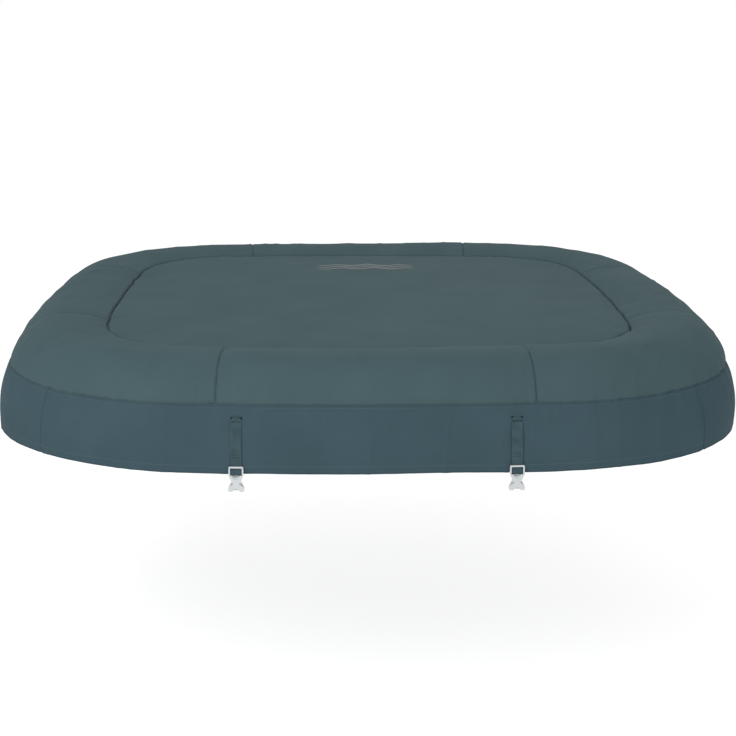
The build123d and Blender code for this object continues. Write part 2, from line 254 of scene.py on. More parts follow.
def shell(distance, profile):
    """Grid of points and normals: profile gives inset, height, outward and upward parts for each row."""
    inset, height, out, up = (np.asarray(v, float)[:, None] for v in profile)
    x, y, (ox, oy) = plan(distance[None, :], inset)
    z = height + 0 * x
    points = np.stack([x, y, z], -1)
    level = fall(height, 0.012)
    out, up = out * (1 - level) + level, up * (1 - level)
    size = np.hypot(out, up)
    normals = np.stack([ox * out / size, oy * out / size, up / size + 0 * x], -1)
    return points, normals


def seam_points(distance, inset, height):
    x, y, _ = plan(distance, inset)
    return np.stack([x, y, np.full_like(x, height)], -1)


def corner_weight(points):
    """1 at the four corners of the plan, 0 along the middles of the sides."""
    angle = np.arctan2(points[..., 1], points[..., 0])
    return np.sin(2 * angle) ** 2


# ---- relief ----
def puckers(where, away, pitch, reach, depth, seed):
    """Small folds square to a seam: where is the nearest point of the seam, away the distance from it."""
    waves = noise(where, pitch, seed) + 0.6 * noise(where, pitch / 2.1, seed + 1)
    strength = 0.55 + 0.45 * noise(where, 0.12, seed + 2)
    length = reach * (0.7 + 0.6 * (noise(where, pitch * 1.7, seed + 3) > 0.1))
    return depth * waves * strength * np.exp(-away / length)


def outer_seam_puckers(distance, away):
    """Puckers at the outer seam, strongest round the corners."""
    where = seam_points(distance, 0, 0)[None]
    corner = corner_weight(where)
    short = puckers(where, away, 0.0105, 0.011, 0.0018, 11)
    long = puckers(where, away, 0.026, 0.040, 0.0034, 21)
    return short * (0.55 + 1.1 * corner) + long * (0.35 + 1.3 * corner)


def inner_seam_puckers(distance, away):
    where = seam_points(distance, INNER_INSET, INNER_HEIGHT)[None]
    corner = corner_weight(where)
    short = puckers(where, away, 0.014, 0.014, 0.0022, 31)
    long = puckers(where, away, 0.048, 0.050, 0.0042, 41)
    return short * (0.6 + 0.8 * corner) + long * (0.5 + 0.8 * corner)


def inner_wobble(distance, away):
    """How far the inner seam wanders from its line, in plan."""
    where = seam_points(distance, INNER_INSET, INNER_HEIGHT)[None]
    _, _, (ox, oy) = plan(distance, INNER_INSET)
    shift = 0.0035 * noise(where, 0.055, 95) + 0.0035 * noise(where, 0.17, 96)
    shift = shift * fall(away, 0.035)
    return np.stack([shift * ox, shift * oy, 0 * shift], -1)


def soft_lumps(points, seed=0):
    """Broad unevenness of a sheet that lies over a lid and isn't pulled quite flat."""
    stretched = points * np.array([1.0, 1.0, 0.6])
    broad = 0.0034 * noise(stretched, 0.28, 51 + seed) + 0.0022 * noise(stretched, 0.11, 52 + seed)
    skewed = np.stack([points[..., 0] * 0.35 + points[..., 1], points[..., 1] * 0.35 - points[..., 0],
                       points[..., 2]], -1)
    folds = 1 - np.abs(noise(skewed * np.array([0.5, 2.2, 1]), 0.10, 53 + seed)) * 2.2
    return broad + 0.0016 * np.clip(folds, 0, 1) ** 2


def ring_relief(points, s, distance, edge, ends):
    """Height of a ring panel above its smooth shape."""
    far = RING_LENGTH - s
    relief = soft_lumps(points) * (1 - fall(s, 0.02)) * (1 - fall(far, 0.03))
    relief = relief - 0.0034 * fall(edge, 0.0035) - 0.0026 * fall(s, 0.0040) - 0.0046 * fall(far, 0.0042)
    relief = relief - 0.0010 * fall(edge, 0.025) - 0.0014 * fall(far, 0.025)
    relief = relief + outer_seam_puckers(distance, s) + inner_seam_puckers(distance, far)
    for column, away in ends:
        relief = relief + puckers(points[:, column : column + 1], away, 0.020, 0.026, 0.0026, 61)
    return relief


def skirt_relief(points, z, distance, edge, left):
    """Height of a skirt panel above its smooth shape."""
    depth = -z
    along = (distance[None, :] + CORNER_LENGTH / 2) % QUARTER
    strap = np.abs(np.abs(along - QUARTER / 2) - STRAP_OFFSET)
    calm = 1 - fall(strap, 0.030) / (1 + np.exp((depth - 0.055) / 0.006))
    relief = soft_lumps(points, 5) * 0.9 * (1 - fall(depth, 0.02)) * calm
    relief = relief - 0.0026 * fall(depth, 0.0040) + outer_seam_puckers(distance, depth)
    relief = relief - 0.0020 * fall(edge, 0.004) + 0.0014 * fall(left - 0.0065, 0.003)
    hem = SKIRT_DEPTH - HEM_HEIGHT
    relief = relief + 0.0007 / (1 + np.exp(-(depth - hem) / 0.0012))
    relief = relief - 0.0007 * fall(depth - hem - 0.002, 0.0012)
    where = seam_points(distance, 0, -SKIRT_DEPTH)[None]
    relief = relief + 0.0010 * noise(where, 0.018, 71) * fall(depth - hem - 0.004, 0.014)
    sway = 0.0035 * noise(where, 0.22, 72) + 0.0015 * noise(where, 0.08, 73)
    return relief + sway * (depth / SKIRT_DEPTH) ** 2


# ---- materials ----
def new_material(name, color, roughness, metallic=0.0, specular=0.5):
    material = bpy.data.materials.new(name)
    material.use_nodes = True
    shader = material.node_tree.nodes["Principled BSDF"]
    shader.inputs["Base Color"].default_value = (*color, 1)
    shader.inputs["Roughness"].default_value = roughness
    shader.inputs["Metallic"].default_value = metallic
    shader.inputs["Specular IOR Level"].default_value = specular
    return material, material.node_tree, shader


def mottled(name, light, dark, roughness, scale, metallic=0.0, specular=0.5):
    """A material whose colour drifts slightly between two tones."""
    material, tree, shader = new_material(name, light, roughness, metallic, specular)
    coordinates = tree.nodes.new("ShaderNodeTexCoord").outputs["Object"]
    ramp = tree.nodes.new("ShaderNodeValToRGB")
    for element, position, color in zip(ramp.color_ramp.elements, (0.3, 0.7), (dark, light)):
        element.position = position
        element.color = (*color, 1)
    tree.links.new(cloudy(tree, coordinates, scale, 4), ramp.inputs["Fac"])
    tree.links.new(ramp.outputs["Color"], shader.inputs["Base Color"])
    return material, tree, shader, coordinates


def cloudy(tree, coordinates, scale, detail=2):
    """Strength of a cloudy noise over the object."""
    node = tree.nodes.new("ShaderNodeTexNoise")
    node.inputs["Scale"].default_value = scale
    node.inputs["Detail"].default_value = detail
    tree.links.new(coordinates, node.inputs["Vector"])
    return node.outputs["Fac"]


def bumped(tree, shader, height, strength, distance):
    bump = tree.nodes.new("ShaderNodeBump")
    bump.inputs["Strength"].default_value = strength
    bump.inputs["Distance"].default_value = distance
    tree.links.new(height, bump.inputs["Height"])
    tree.links.new(bump.outputs["Normal"], shader.inputs["Normal"])


def maths(tree, operation, first, second):
    """The result of a maths node on a socket and a number, or on two sockets."""
    node = tree.nodes.new("ShaderNodeMath")
    node.operation = operation
    tree.links.new(first, node.inputs[0])
    if isinstance(second, (int, float)):
        node.inputs[1].default_value = second
    else:
        tree.links.new(second, node.inputs[1])
    return node.outputs[0]


def weave(tree, coordinates, pitch, axes=(0, 1)):
    """Height of a plain weave with threads this far apart."""
    split = tree.nodes.new("ShaderNodeSeparateXYZ")
    tree.links.new(coordinates, split.inputs["Vector"])
    waves = []
    for axis in axes:
        angle = maths(tree, "MULTIPLY", split.outputs[axis], 2 * pi / pitch)
        waves.append(maths(tree, "SINE", angle, 0))
    return maths(tree, "MULTIPLY", *waves)


def fabric(name, light, dark, roughness, pitch=0.0009, axes=(0, 1)):
    material, tree, shader, coordinates = mottled(name, light, dark, roughness, 7, specular=0.02)
    threads = maths(tree, "MULTIPLY", weave(tree, coordinates, pitch, axes), 0.35)
    grain = cloudy(tree, coordinates, 160, 3)
    bumped(tree, shader, maths(tree, "ADD", threads, grain), 0.35, 0.0004)
    return material


def webbing_material():
    light, dark = (0.050, 0.088, 0.100), (0.034, 0.064, 0.075)
    material, tree, shader, coordinates = mottled("webbing", light, dark, 0.7, 45, specular=0.1)
    bumped(tree, shader, weave(tree, coordinates, 0.0022, (0, 2)), 0.5, 0.0005)
    return material


def moulded(name, color, roughness, specular=0.5):
    dark = tuple(v * 0.94 for v in color)
    material, tree, shader, coordinates = mottled(name, color, dark, roughness, 40, specular=specular)
    bumped(tree, shader, cloudy(tree, coordinates, 900), 0.12, 0.0002)
    return material


def foil_material():
    light, dark = (0.66, 0.67, 0.68), (0.56, 0.57, 0.58)
    material, tree, shader, coordinates = mottled("lining_foil", light, dark, 0.38, 12, metallic=0.75)
    bumped(tree, shader, weave(tree, coordinates, 0.0040), 0.4, 0.0006)
    return material


def film_material():
    light, dark = (0.43, 0.46, 0.48), (0.38, 0.41, 0.43)
    material, tree, shader, coordinates = mottled("lid_film", light, dark, 0.35, 9)
    bumped(tree, shader, cloudy(tree, coordinates, 300), 0.15, 0.0004)
    return material


def metal_material():
    light, dark = (0.58, 0.59, 0.60), (0.50, 0.51, 0.52)
    return mottled("zip_metal", light, dark, 0.32, 250, metallic=1.0)[0]


TOP = fabric("top_fabric", (0.0575, 0.0955, 0.1045), (0.0515, 0.0865, 0.0950), 0.66)
# The skirt and hem use a darker copy of the top fabric: the darkening is painted shade for the upright
# sides, which get less light than the top.
SKIRT_CLOTH_PAINTED_SHADE = fabric("skirt_fabric", (0.0465, 0.0790, 0.0960), (0.0410, 0.0710, 0.0860), 0.66, axes=(0, 2))
THREAD = moulded("stitch_thread", (0.085, 0.130, 0.143), 0.7)
# Near-black thread for the strap's stitches, also used for the painted shadow line under the strap's fold.
DARK_THREAD_AND_FOLD_SHADOW = moulded("strap_thread_and_fold_shadow", (0.005, 0.008, 0.010), 0.8, 0.02)
WEBBING = webbing_material()
PATCH = fabric("backing_fabric", (0.07, 0.10, 0.11), (0.06, 0.09, 0.10), 0.8)
FOIL = foil_material()
TAPE = fabric("zip_tape_fabric", (0.03, 0.035, 0.037), (0.022, 0.026, 0.028), 0.8, 0.0012)
TEETH = moulded("zip_plastic", (0.04, 0.045, 0.047), 0.4)
METAL = metal_material()
FILM = film_material()
BUCKLE = moulded("buckle_plastic", (0.52, 0.545, 0.555), 0.42)
VALVE_PLASTIC = moulded("valve_plastic", (0.60, 0.62, 0.63), 0.4)
INK = moulded("print_ink", (0.030, 0.052, 0.060), 0.45)


# ---- top fabric ----
def ring_piece(name, start, length):
    columns = graded(length, 0.0012, 0.0032, 1.2)
    rows = graded(RING_LENGTH, 0.0012, 0.0045, 1.2)
    distance = start + columns
    points, normals = shell(distance, ring_profile(rows))
    s = rows[:, None]
    left = columns[None, :]
    right = (length - columns)[None, :]
    edge = np.minimum(left, right)
    relief = ring_relief(points, s, distance, edge, ((0, left), (len(columns) - 1, right)))
    points = points + normals * relief[..., None] + inner_wobble(distance, RING_LENGTH - s)
    piece = make_mesh(name, points, grid_faces(len(rows), len(columns)))
    thicken(piece, FABRIC)
    finish_piece(piece, TOP)
    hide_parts(name.replace("_cloth", ""))
    return piece


def build_ring():
    for index in range(4):
        start = index * QUARTER + PANEL_START
        side = ring_piece(f"ring_panel_{SIDES[index]}_cloth", start, PANEL_LENGTH)
        corner = ring_piece(f"ring_corner_{CORNERS[index]}_cloth", start + PANEL_LENGTH, CORNER_PANEL_LENGTH)


CROWN = 0.009
CENTRE_COLUMNS = 1120


def centre_surface(away):
    """Height of the centre panel; away is the distance in from the inner seam."""
    height = INNER_HEIGHT + CROWN * (1 - np.exp(-away / 0.16))
    return height - 0.0046 * fall(away, 0.0042) - 0.0012 * fall(away, 0.025)


def centre_point(distance, away):
    """Point of the centre panel: its rings shrink towards the middle."""
    x, y, _ = plan(distance, INNER_INSET)
    reach = HALF - INNER_INSET
    share = 1 - away / reach
    x, y = x * share, y * share
    points = np.stack([x, y, INNER_HEIGHT + 0 * x], -1)
    z = centre_surface(away + 0 * x)
    lumps = soft_lumps(points, 9) * 0.55 * (1 - fall(away, 0.03))
    z = z + lumps + inner_seam_puckers(distance.reshape(-1), away.reshape(-1, 1)).reshape(x.shape)
    return np.stack([x, y, z], -1) + inner_wobble(distance.reshape(-1), away.reshape(-1, 1))


def build_centre():
    distance = all_round(CENTRE_COLUMNS)
    reach = HALF - INNER_INSET
    away = [0]
    step = 0.0012
    while away[-1] + step < reach * 0.985:
        away.append(away[-1] + step)
        step = min(step * 1.2, 0.024)
    points = centre_point(distance[None, :], np.array(away)[:, None])
    # the seam allowance, turned down under the ring
    x, y, _ = plan(distance, INNER_INSET - 0.006)
    points = np.concatenate([np.stack([x, y, points[0, :, 2] - 0.007], -1)[None], points])
    faces = grid_faces(len(points), CENTRE_COLUMNS, closed=True).tolist()
    middle = points[-1].mean(0)
    last = (len(points) - 1) * CENTRE_COLUMNS
    points = np.concatenate([points.reshape(-1, 3), middle[None]])
    faces += fan(last, CENTRE_COLUMNS, len(points) - 1)
    piece = make_mesh("centre_panel_cloth", points, faces)
    thicken(piece, FABRIC)
    finish_piece(piece, TOP)
    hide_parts("centre_panel")


def fan(start, count, middle):
    """Triangles from a closed row of points to the point in its middle."""
    return [[start + k, start + (k + 1) % count, middle] for k in range(count)]


def skirt_surface(distance, z, edge, left, outside=0.0):
    inset, height, out, up = skirt_profile(z, outside)
    points, normals = shell(distance, (inset, height, out, up))
    relief = skirt_relief(points, z[:, None], distance, edge, left)
    return points + normals * relief[..., None], normals


def build_skirt():
    for index, side in enumerate(SIDES):
        columns = graded(QUARTER, 0.0012, 0.0035, 1.2)
        distance = index * QUARTER - CORNER_LENGTH / 2 + columns
        z = -graded(SKIRT_DEPTH, 0.0012, 0.0040, 1.2)
        edge = np.minimum(columns, QUARTER - columns)[None, :]
        points, normals = skirt_surface(distance, z, edge, columns[None, :])
        # the seam allowance, turned up behind the ring
        allowance = []
        for inward, rise in ((0.005, 0.010), (0.003, 0.004)):
            row = points[:1] - normals[:1] * inward
            row[..., 2] += rise
            allowance.append(row)
        points = np.concatenate(allowance + [points])
        faces = grid_faces(len(points), len(columns), flip=True)
        piece = make_mesh(f"skirt_panel_{side}_cloth", points, faces)
        thicken(piece, FABRIC)
        finish_piece(piece, SKIRT_CLOTH_PAINTED_SHADE)
        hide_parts(f"skirt_panel_{side}")


def wrapped(distance, z, outside):
    """Points on the skirt all round the cover, this far outside its outer face."""
    along = (distance + CORNER_LENGTH / 2) % QUARTER
    edge = np.minimum(along, QUARTER - along)[None, :]
    return skirt_surface(distance, z, edge, along[None, :], outside)


def build_hem():
    """The turned edge: up the inside of the skirt from a roll at its foot."""
    distance = all_round(2000)
    rise = np.linspace(HEM_HEIGHT, 0.0016, 9)
    inside, _ = wrapped(distance, -SKIRT_DEPTH + rise, -0.0029)
    roll = []
    foot, _ = wrapped(distance, np.array([-SKIRT_DEPTH + 0.0006]), -0.0012)
    _, _, (ox, oy) = plan(distance, 0)
    for angle in np.radians(np.arange(-150, 1, 25)):
        x = foot[0, :, 0] + 0.0017 * cos(angle) * ox
        y = foot[0, :, 1] + 0.0017 * cos(angle) * oy
        z = foot[0, :, 2] + 0.0017 * sin(angle)
        roll.append(np.stack([x, y, z], -1))
    points = np.concatenate([inside, np.stack(roll)])
    piece = make_mesh("hem_turned_cloth", points, grid_faces(len(points), len(distance), closed=True))
    thicken(piece, 0.0008, 0)
    finish_piece(piece, SKIRT_CLOTH_PAINTED_SHADE)
    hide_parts("hem_turned_edge")


# ---- stitches ----
STITCH = 0.0034
STITCH_GAP = 0.0012


def follow(at, run, values):
    """The values at these distances along a path, whose points lie run along it."""
    return np.stack([np.interp(at, run, column) for column in values.T], -1)


def stitches(name, paths, material, width=0.0009, body="cover"):
    """Rows of separate stitches. Each path is (points, normals), evenly enough spaced to follow."""
    vertices, faces = [], []
    for points, normals in paths:
        points, normals = np.asarray(points), np.asarray(normals)
        steps = np.linalg.norm(np.diff(points, axis=0), axis=1)
        run = np.concatenate([[0], np.cumsum(steps)])
        count = max(int(run[-1] / (STITCH + STITCH_GAP)), 1)
        starts = (np.arange(count) + 0.5) * run[-1] / count
        rows = []
        for offset, lift, half in ((-0.5, -0.2, 0.15), (-0.3, 0.5, 0.5), (0.3, 0.5, 0.5), (0.5, -0.2, 0.15)):
            at = starts + offset * STITCH
            p, n = follow(at, run, points), follow(at, run, normals)
            t = follow(at + 0.001, run, points) - follow(at - 0.001, run, points)
            t = t / (np.linalg.norm(t, axis=1, keepdims=True) + 1e-12)
            side = np.cross(n, t)
            for across, up in ((-half, lift * 0.4), (0, lift), (half, lift * 0.4), (0, lift - half * 0.8)):
                rows.append(p + side * across * width + n * up * width)
        block = np.stack(rows, 1)
        base = sum(len(v) for v in vertices)
        for index in range(count):
            o = base + index * 16
            for ring in range(3):
                for k in range(4):
                    a, b = o + ring * 4 + k, o + ring * 4 + (k + 1) % 4
                    faces.append([a, b, b + 4, a + 4])
            faces.append([o + 3, o + 2, o + 1, o])
            faces.append([o + 12, o + 13, o + 14, o + 15])
        vertices.append(block.reshape(-1, 3))
    piece = make_mesh(name, np.concatenate(vertices), faces)
    return finish_piece(piece, material, body)


def closed_run(points, normals):
    return np.concatenate([points, points[:1]]), np.concatenate([normals, normals[:1]])


def ring_line(s):
    """A line round the ring at this distance from the outer seam, on the finished surface."""
    distance = all_round(2400)
    points, normals = shell(distance, ring_profile(np.array([s])))
    along = (distance - PANEL_START) % QUARTER
    edge = np.minimum.reduce([along, np.abs(along - PANEL_LENGTH), QUARTER - along])[None, :]
    relief = ring_relief(points, np.array([[s]]), distance, edge, ())
    points = points + normals * relief[..., None] + inner_wobble(distance, RING_LENGTH - s)
    return closed_run(points[0], normals[0])


def centre_line(away):
    distance = all_round(2400)
    points = centre_point(distance[None, :], np.array([[away]]))[0]
    return closed_run(points, np.tile([0.0, 0.0, 1.0], (len(points), 1)))


def skirt_line(depth):
    distance = all_round(2400)
    points, normals = wrapped(distance, np.array([-depth]), 0.0)
    return closed_run(points[0], normals[0])


def radial_lines():
    """Topstitching beside each radial seam of the ring."""
    paths = []
    rows = np.linspace(0.006, RING_LENGTH - 0.006, 80)
    profile = ring_profile(rows)
    for index in range(4):
        start = index * QUARTER + PANEL_START
        for at in (start, start + PANEL_LENGTH):
            distance = np.array([at - 0.0055])
            points, normals = shell(distance, profile)
            where = shell(np.array([at]), profile)[0]
            edge = np.full((len(rows), 1), 0.0055)
            relief = ring_relief(points, rows[:, None], distance, edge, ())
            relief = relief + puckers(where, edge, 0.020, 0.026, 0.0026, 61)
            paths.append(((points + normals * relief[..., None])[:, 0], normals[:, 0]))
    return paths


def build_stitching():
    stitches("stitching_top", [ring_line(RING_LENGTH - 0.006), centre_line(0.006)], THREAD)
    stitches("stitching_ring_seams", radial_lines() + [ring_line(0.006)], THREAD)
    hem = SKIRT_DEPTH - HEM_HEIGHT + 0.002
    stitches("stitching_skirt", [skirt_line(0.006), skirt_line(hem)], THREAD)


# ---- straps and buckles ----
def on_side(points, index, way):
    """Points drawn at the middle of the front side's outer seam, moved to a strap's place."""
    p = np.asarray(points, float).reshape(-1, 3).copy()
    p[:, 1] -= HALF + SIDE_CENTRE
    x, y = turn(p[:, 0], p[:, 1], way * STRAP_ANGLE)
    x, y = turn(x, y + SIDE_CENTRE, index * pi / 2)
    return np.stack([x, y, p[:, 2]], -1)


def smooth_path(points, step):
    """Evenly spaced points on a rounded path through these (y, z) points."""
    p = np.asarray(points, float)
    for _ in range(3):
        a, b = p[:-1] * 0.75 + p[1:] * 0.25, p[:-1] * 0.25 + p[1:] * 0.75
        p = np.concatenate([p[:1], np.stack([a, b], 1).reshape(-1, 2), p[-1:]])
    run = np.concatenate([[0], np.cumsum(np.hypot(*np.diff(p, axis=0).T))])
    at = np.linspace(0, run[-1], int(run[-1] / step) + 2)
    return follow(at, run, p)


def ribbon(name, path, place, seed):
    """A strip of webbing along a path in the (y, z) plane, with thick rounded edges and ribs across."""
    index, way = place
    path = smooth_path(path, 0.0009)
    ahead = np.gradient(path, axis=0)
    ahead = ahead / np.linalg.norm(ahead, axis=1, keepdims=True)
    normal = np.stack([ahead[:, 1], -ahead[:, 0]], -1)
    half = WEB_WIDTH / 2
    across = np.linspace(-1, 1, 17)
    thick = WEB / 2 * np.sqrt(np.clip(1 - np.abs(across) ** 8, 0.05, 1))
    outline = [(x * half, t) for x, t in zip(across, thick)]
    outline += [(x, -t) for x, t in reversed(outline)]
    vertices = []
    for row, (p, n) in enumerate(zip(path, normal)):
        rib = 1 + 0.09 * sin(row * 2.1)
        sway = 0.0005 * noise(np.array([0.0, *p]), 0.02, seed)
        for x, t in outline:
            edge = 1 + 0.012 * sin(row * 1.4)
            y, z = p + n * (t * rib + sway * 0.5)
            vertices.append((x * edge + sway * 0.6, y, z))
    faces = grid_faces(len(path), len(outline), closed=True).tolist()
    faces.append(list(range(len(outline))))
    faces.append([(len(path) - 1) * len(outline) + k for k in range(len(outline) - 1, -1, -1)])
    piece = make_mesh(name, on_side(vertices, index, way), faces)
    piece.data.materials.append(WEBBING)
    return piece


def at_place(y, z, place):
    return on_side([(0, y, z)], *place)[0].tolist()


def tab_y(z, outside):
    inset, _, _, _ = skirt_profile(z, outside)
    return float(inset)


def build_strap(name, place, seed):
    tab = [(tab_y(z, 0.0012), z) for z in (TAB_TOP, -0.031, TAB_BOTTOM)]
    upper = ribbon(f"webbing_top_{name}", tab + [TOP_HINGE, (-0.0268, -0.058), STRAP_BEND, STRAP_JOIN],
                   place, seed)
    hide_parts(f"strap_{name}")
    top = (TOP_HINGE[0], TOP_HINGE[1] + 0.006), (TOP_HINGE[0] - 0.002, TOP_HINGE[1] - 0.008)
    at_place(*top[0], place)
    at_place(*top[1], place)
    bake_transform(upper)
    bar = LOW_HINGE[0]
    loop = []
    for angle in np.radians(np.arange(180, 361, 15)):
        loop.append((bar + 0.0030 * cos(angle), WEB_BAR_Z - 0.0011 + 0.0031 * sin(angle)))
    front = [STRAP_JOIN, LOW_FRONT, (LOW_FRONT[0], -0.1475)]
    behind = 0.0016
    back = [(y + behind, z) for y, z in (front[2], front[1], (-0.0350, FOLD_Z))]
    lower = ribbon(f"webbing_low_{name}", front + loop + back, place, seed + 1)
    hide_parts(f"web_loop_{name}")
    start = at_place(bar, LOW_HINGE[1] + 0.005, place)
    end = at_place(bar, LOW_HINGE[1] - 0.005, place)
    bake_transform(lower)


def along_corners(corners, y_at):
    """Points along straight runs between (x, z) corners, on a surface whose depth y_at(z) gives."""
    line = []
    for (x0, z0), (x1, z1) in zip(corners[:-1], corners[1:]):
        for k in range(12):
            x, z = x0 + (x1 - x0) * k / 12, z0 + (z1 - z0) * k / 12
            line.append((x, y_at(z), z))
    x, z = corners[-1]
    line.append((x, y_at(z), z))
    return line


def box_stitch_and_fold_shadow(y_at, top, bottom, half):
    """A box of stitching with a cross in it and a bar tack at each upper corner; the dark line along its
    foot is a painted shadow of the strap's fold, drawn as thread.
    """
    box = [(-half, top), (half, top), (half, bottom), (-half, bottom), (-half, top)]
    cross = [(-half, top), (half, bottom)], [(half, top), (-half, bottom)]
    lines = [along_corners(corners, y_at) for corners in (box, *cross)]
    # painted shadow: these near-black thread lines along the box's foot stand in for the shade under the
    # strap's fold
    for z in (bottom + 0.0004, bottom + 0.0012, bottom + 0.0020):
        lines.append([(x, y_at(z), z) for x in np.linspace(-half, half, 12)])
    for side in (-1, 1):
        for x in np.linspace(side * (half - 0.0010), side * (half + 0.0024), 5):
            lines.append([(x, y_at(z), z) for z in np.linspace(top + 0.0012, top - 0.0036, 5)])
    return lines


def strap_face(z):
    """How far out the strap's face is, from its join down to its foot."""
    share = (z - STRAP_JOIN[1]) / (LOW_FRONT[1] - STRAP_JOIN[1])
    return STRAP_JOIN[0] + share * (LOW_FRONT[0] - STRAP_JOIN[0]) - 0.0009


def strap_stitching(name, place):
    out = on_side([(0, -1, 0), (0, 0, 0)], *place)
    out = out[0] - out[1]
    # the tab's lines include a painted shadow line of the strap's fold along the box's foot
    box = box_stitch_and_fold_shadow(lambda z: tab_y(z, 0.0019), TAB_TOP - 0.0025, TAB_BOTTOM + 0.001, 0.0112)
    rows = []
    for z in (FOLD_Z - 0.0025, FOLD_Z - 0.0095):
        rows.append([(x, strap_face(z), z) for x in np.linspace(-0.0105, 0.0105, 12)])
    for label, lines, body in (("tab", box, "cover"), ("fold", rows, f"strap_{name}")):
        paths = [(on_side(line, *place), np.tile(out, (len(line), 1))) for line in lines]
        stitches(f"{label}_stitching_{name}", paths, DARK_THREAD_AND_FOLD_SHADOW, 0.0010, body)


def block_between(corners, y0, y1):
    """A helper prism with this outline in the (x, z) plane, from y0 back to y1."""
    count = len(corners)
    vertices = [(x, y0, z) for x, z in corners] + [(x, y1, z) for x, z in corners]
    faces = [list(range(count)), [count + k for k in reversed(range(count))]]
    for k in range(count):
        n = (k + 1) % count
        faces.append([n, k, count + k, count + n])
    block = make_mesh("buckle_helper", vertices, faces, smooth=False)
    shape = bmesh.new()
    shape.from_mesh(block.data)
    bmesh.ops.recalc_face_normals(shape, faces=shape.faces)
    shape.to_mesh(block.data)
    shape.free()
    return block


def buckle_cutters(top):
    """Grooves in the buckle's face: a wedge above each lobe, a vee under the window, and a notch."""
    front = LOW_HINGE[0] - 0.0080
    cuts = []
    for sign in (-1, 1):
        wedge = [(0.0085, 0.0395), (0.0200, 0.0480), (0.0200, 0.0515), (0.0080, 0.0430)]
        corners = [(sign * x, top - drop) for x, drop in wedge]
        cuts.append((corners[::sign], front, front + 0.0056))
    for half, foot, high, low, depth in (
        (0.0105, 0.0015, 0.0245, 0.0325, 0.0040),
        (0.0055, 0.0075, 0.0560, 0.0590, 0.0040),
    ):
        corners = [(-foot, top - low), (foot, top - low), (half, top - high), (-half, top - high)]
        cuts.append((corners, front, front + depth))
    return cuts


def buckle_walls(top):
    """Thin walls that close the back of the vee and of the notch between the lobes."""
    walls = []
    for half, high, low in ((0.0112, 0.0232, 0.0300), (0.0095, 0.0570, 0.0606)):
        wall = [(-half, top - high), (-half, top - low), (half, top - low), (half, top - high)]
        walls.append((wall, LOW_HINGE[0] + 0.0018, LOW_HINGE[0] + 0.0034))
    return walls


def buckle_mesh(node):
    """The CAD buckle in its own upright frame, with its vee and notch shaped and its edges rounded."""
    mesh = bpy.data.meshes.new_from_object(node)
    mesh.transform(node.matrix_world)
    back = Matrix.Translation((0, HALF + SIDE_CENTRE, 0)) @ Matrix.Rotation(STRAP_ANGLE, 4, "Z")
    mesh.transform(back @ Matrix.Translation((0, -SIDE_CENTRE, 0)))
    body = bpy.data.objects.new("buckle_body", mesh)
    bpy.context.scene.collection.objects.link(body)
    top = max(v.co.z for v in mesh.vertices)
    helpers = []
    for operation, blocks in (("UNION", buckle_walls(top)), ("DIFFERENCE", buckle_cutters(top))):
        for corners, y0, y1 in blocks:
            helpers.append(block_between(corners, y0, y1))
            change = body.modifiers.new("change", "BOOLEAN")
            change.operation = operation
            change.solver = "EXACT"
            change.object = helpers[-1]
    remesh = body.modifiers.new("round", "REMESH")
    remesh.mode = "VOXEL"
    remesh.voxel_size = 0.00048
    remesh.use_smooth_shade = True
    smooth = body.modifiers.new("smooth", "SMOOTH")
    smooth.factor = 0.5
    smooth.iterations = 5
    graph = bpy.context.evaluated_depsgraph_get()
    finished = bpy.data.meshes.new_from_object(body.evaluated_get(graph))
    for helper in helpers + [body]:
        bpy.data.objects.remove(helper)
    finished.name = "buckle_rounded"
    finished.materials.clear()
    finished.materials.append(BUCKLE)
    return finished


def place_buckle(mesh, name, index, way):
    piece = bpy.data.objects.new(f"buckle_moulded_{name}", mesh)
    to_centre = Matrix.Translation((0, -HALF - SIDE_CENTRE, 0))
    about = Matrix.Rotation(way * STRAP_ANGLE, 4, "Z") @ to_centre
    quarter = Matrix.Rotation(index * pi / 2, 4, "Z")
    piece.matrix_world = quarter @ Matrix.Translation((0, SIDE_CENTRE, 0)) @ about
    bpy.context.scene.collection.objects.link(piece)
    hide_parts(f"buckle_{name}")
    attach(piece, f"buckle_{name}")


def bevelled(name, width, material):
    """Keep a CAD node, with its edges rounded and a finished material."""
    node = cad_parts[name]
    bevel = node.modifiers.new("edges", "BEVEL")
    bevel.width = width
    bevel.segments = 3
    bevel.limit_method = "ANGLE"
    node.data.materials.clear()
    node.data.materials.append(material)


def build_straps():
    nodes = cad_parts
    seed = 100
    buckle = buckle_mesh(nodes["buckle_front_a"])
    for index, side in enumerate(SIDES):
        for way, hand in ((-1, "a"), (1, "b")):
            name = f"{side}_{hand}"
            place = (index, way)
            build_strap(name, place, seed)
            strap_stitching(name, place)
            build_patch(name, place)
            place_buckle(buckle, name, index, way)
            seed += 2


def build_patch(name, place):
    """A square of cloth sewn behind the tab, inside the skirt."""
    index, way = place
    half = 0.024
    x = np.linspace(-half, half, 33)
    z = np.linspace(TAB_TOP + 0.008, TAB_BOTTOM - 0.008, 21)
    grid = []
    for height in z:
        inset, level, _, _ = skirt_profile(height, -0.0032)
        for across in x:
            lift = 0.0004 * float(noise(np.array([across, height, 0.0]), 0.008, 90))
            grid.append((across, float(inset) + lift, float(level)))
    piece = make_mesh(f"patch_{name}", on_side(grid, index, way), grid_faces(len(z), len(x)))
    thicken(piece, 0.0009, 0)
    finish_piece(piece, PATCH)


